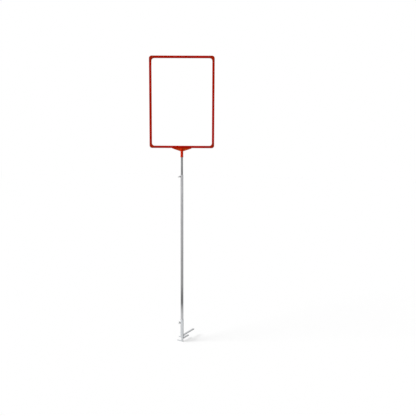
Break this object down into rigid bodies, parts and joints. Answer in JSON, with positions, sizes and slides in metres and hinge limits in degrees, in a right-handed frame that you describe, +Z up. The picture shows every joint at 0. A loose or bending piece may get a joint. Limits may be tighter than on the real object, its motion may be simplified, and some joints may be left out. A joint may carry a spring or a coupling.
{
  "type": "pallet flag",
  "caption": "Empty A2 portrait poster frame on a height-adjustable telescopic pole, with a steel foot that hooks over the end board of a transport pallet.",
  "frame": {"origin": "inner corner of the foot's hook, where it sits on the upper edge of the pallet's end board, straight behind the pole; the pole's axis is 15.5 mm in front of it, and the tongue stands 4.5 mm to the right", "axes": "+Z up the pole, +Y into the pallet along the tongue, +X to the right along the pallet's end as seen from outside; the sign's front is turned 30 degrees about +Z from -Y towards +X"},
  "size_m": [0.3886, 0.2655, 2.004],
  "materials": {
    "frame_profile": "extruded red plastic, satin gloss",
    "frame_corner": "moulded red plastic, fine satin texture",
    "tee_moulding": "moulded red plastic, semi-gloss",
    "upper_tube_steel": "drawn steel tube, grey zinc",
    "lower_tube_steel": "drawn steel tube, bright zinc",
    "foot_steel": "welded steel, bright blue zinc plate",
    "nut_steel": "plain dark steel weld nut",
    "screw_steel": "zinc plated wing screw",
    "guide_plastic": "moulded dark grey polyethylene",
    "bush_plastic": "moulded grey plastic",
    "pad_nylon": "natural nylon"
  },
  "bodies": {
    "foot": {"socket_tube": "foot_steel", "socket_floor": "foot_steel", "socket_nut": "nut_steel", "foot_side_jaw": "foot_steel", "foot_tongue": "foot_steel", "foot_prong": "foot_steel"},
    "socket_pressure_pad": {"socket_pad": "pad_nylon"},
    "socket_screw": {"socket_wing_screw": "screw_steel"},
    "lower_pole": {"lower_tube": "lower_tube_steel", "mouth_bush": "bush_plastic", "lower_tube_plug": "guide_plastic", "clamp_nut": "nut_steel"},
    "clamp_pressure_pad": {"clamp_pad": "pad_nylon"},
    "clamp_screw": {"clamp_wing_screw": "screw_steel"},
    "upper_pole": {"upper_tube": "upper_tube_steel", "upper_tube_guide": "guide_plastic"},
    "sign": {"tee_holder": "tee_moulding", "frame_left_rail": "frame_profile", "frame_right_rail": "frame_profile", "frame_top_rail": "frame_profile", "frame_bottom_rail": "frame_profile", "frame_corner_top_left": "frame_corner", "frame_corner_top_right": "frame_corner", "frame_corner_bottom_left": "frame_corner", "frame_corner_bottom_right": "frame_corner"}
  },
  "joints": [
    {"name": "pole_lift", "type": "slide", "parent": "foot", "child": "lower_pole", "axis": [0, 0, 1], "range_m": [0, 0.12]},
    {"name": "telescope", "type": "slide", "parent": "lower_pole", "child": "upper_pole", "axis": [0, 0, 1], "range_m": [-0.12, 0.73]},
    {"name": "sign_swivel", "type": "hinge", "parent": "upper_pole", "child": "sign", "pos_m": [0, -0.0155, 1.3], "axis": [0, 0, 1], "continuous": true},
    {"name": "clamp_pad_travel", "type": "slide", "parent": "lower_pole", "child": "clamp_pressure_pad", "axis": [-1, 0, 0], "range_m": [0, 0.0021]},
    {"name": "clamp_screw_turn", "type": "hinge", "parent": "clamp_pressure_pad", "child": "clamp_screw", "pos_m": [-0.02, -0.0155, 1.1405], "axis": [-1, 0, 0], "range_deg": [0, 720]},
    {"name": "socket_pad_travel", "type": "slide", "parent": "foot", "child": "socket_pressure_pad", "axis": [-1, 0, 0], "range_m": [0, 0.0021]},
    {"name": "socket_screw_turn", "type": "hinge", "parent": "socket_pressure_pad", "child": "socket_screw", "pos_m": [-0.02, -0.0155, 0.091], "axis": [-1, 0, 0], "range_deg": [0, 720]}
  ],
  "couplings": [
    {"joint": "clamp_pad_travel", "follows": "clamp_screw_turn", "m_per_rad": 0.00015915},
    {"joint": "socket_pad_travel", "follows": "socket_screw_turn", "m_per_rad": 0.00015915}
  ]
}
